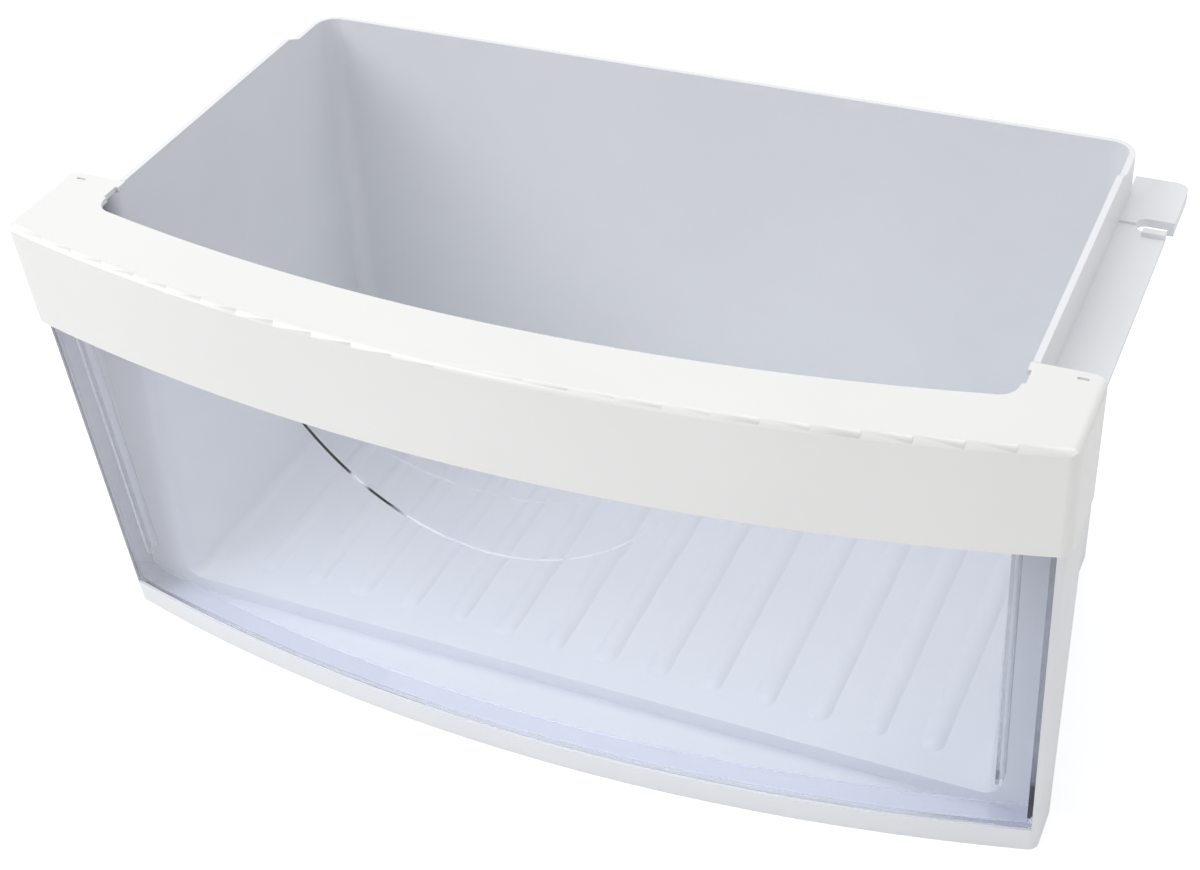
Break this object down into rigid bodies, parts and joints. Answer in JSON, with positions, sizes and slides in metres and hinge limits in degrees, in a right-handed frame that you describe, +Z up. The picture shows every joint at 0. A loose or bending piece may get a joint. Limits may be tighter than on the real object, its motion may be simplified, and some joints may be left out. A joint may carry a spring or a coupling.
{
  "type": "fridge drawer",
  "caption": "White fridge crisper drawer: a deep moulded pan with side slide rails, a clear bowed front window with a finger scoop, and a bowed white top trim that is the handle.",
  "frame": {"origin": "middle of the bounding box's bottom face, on the plane that the drawer stands on", "axes": "+Z up, the bowed front faces -Y, +X to the right as seen from the front, the rails run along Y"},
  "size_m": [0.421, 0.2368, 0.212],
  "materials": {
    "white_plastic": "gloss",
    "clear_plastic": "gloss"
  },
  "bodies": {
    "root": {"tub": "white_plastic", "window": "clear_plastic", "bezel": "white_plastic"}
  },
  "joints": []
}
